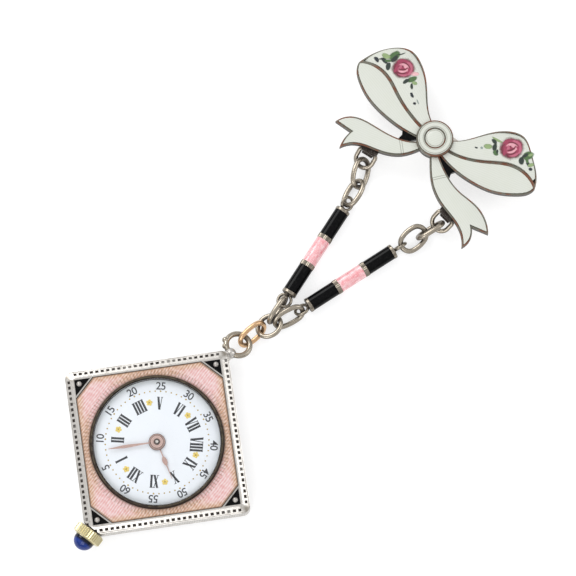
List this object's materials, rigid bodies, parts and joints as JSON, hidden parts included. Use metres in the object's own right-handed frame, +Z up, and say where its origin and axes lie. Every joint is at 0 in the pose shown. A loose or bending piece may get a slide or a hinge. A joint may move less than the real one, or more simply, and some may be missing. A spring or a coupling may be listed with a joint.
{
  "type": "chatelaine watch pin",
  "caption": "Square enamelled pendant watch hung face up from short chains with enamelled bars under an enamelled bow-shaped brooch.",
  "frame": {"origin": "centre of the watch case's flat back, which lies on the surface", "axes": "+Y runs from the watch to the bow, +Z is up out of the dial, +X is to the bow's right as seen from above"},
  "size_m": [0.0408, 0.0945, 0.0063],
  "materials": {
    "silver": "worn polished silver, dark in the crevices",
    "dark_silver": "oxidised silver",
    "pink_enamel": "translucent enamel over engine turning",
    "black_enamel": "glossy",
    "dial_enamel": "glossy",
    "crystal": "clear",
    "movement_brass": "plain, hidden",
    "blued_hands": "dark copper-brown",
    "steel": "satin",
    "gilt": "pale gold, polished",
    "blue_stone": "polished, nearly opaque",
    "bar_pink": "translucent enamel",
    "white_enamel": "glossy, faintly green-grey"
  },
  "bodies": {
    "watch": {"case": "silver", "bezel": "silver", "watch_bow": "silver", "crystal_ring": "dark_silver", "face_plate": "pink_enamel", "corner_enamel_1": "black_enamel", "corner_enamel_2": "black_enamel", "corner_enamel_3": "black_enamel", "corner_enamel_4": "black_enamel", "dial": "dial_enamel", "crystal": "crystal", "movement": "movement_brass", "link_gold": "gilt", "link_common": "silver", "link_lower_left": "silver", "link_lower_right": "silver", "link_upper_left_1": "silver", "link_upper_left_2": "silver", "link_upper_right_1": "silver", "link_upper_right_2": "silver", "ring_left": "silver", "ring_right": "silver", "bar_left_core": "silver", "bar_left_black_upper": "black_enamel", "bar_left_pink": "bar_pink", "bar_left_black_lower": "black_enamel", "bar_right_core": "silver", "bar_right_black_upper": "black_enamel", "bar_right_pink": "bar_pink", "bar_right_black_lower": "black_enamel", "bow_plate": "silver", "lobe_right_top": "white_enamel", "lobe_right_front": "white_enamel", "lobe_left_top": "white_enamel", "lobe_left_front": "white_enamel", "tail_right": "white_enamel", "tail_left": "white_enamel", "web_left": "black_enamel", "web_right": "black_enamel", "knot_ring": "white_enamel", "knot_centre": "white_enamel", "brooch_pin": "silver"},
    "minute_hand": {"minute_hand": "blued_hands"},
    "hour_hand": {"hour_hand": "blued_hands"},
    "stem": {"stem": "steel"},
    "crown": {"crown_collar": "gilt", "cabochon": "blue_stone"}
  },
  "joints": [
    {"name": "minute_hand_turn", "type": "hinge", "parent": "watch", "child": "minute_hand", "pos_m": [0, 0, 0.005], "axis": [0, 0, -1], "continuous": true},
    {"name": "hour_hand_turn", "type": "hinge", "parent": "watch", "child": "hour_hand", "pos_m": [0, 0, 0.00475], "axis": [0, 0, -1], "continuous": true},
    {"name": "crown_turn", "type": "hinge", "parent": "watch", "child": "stem", "pos_m": [0, -0.0166, 0.0029], "axis": [0, 1, 0], "continuous": true},
    {"name": "crown_pull", "type": "slide", "parent": "stem", "child": "crown", "axis": [0, -1, 0], "range_m": [0, 0.0006]}
  ],
  "couplings": [
    {"joint": "hour_hand_turn", "follows": "minute_hand_turn", "ratio": 0.083333}
  ]
}
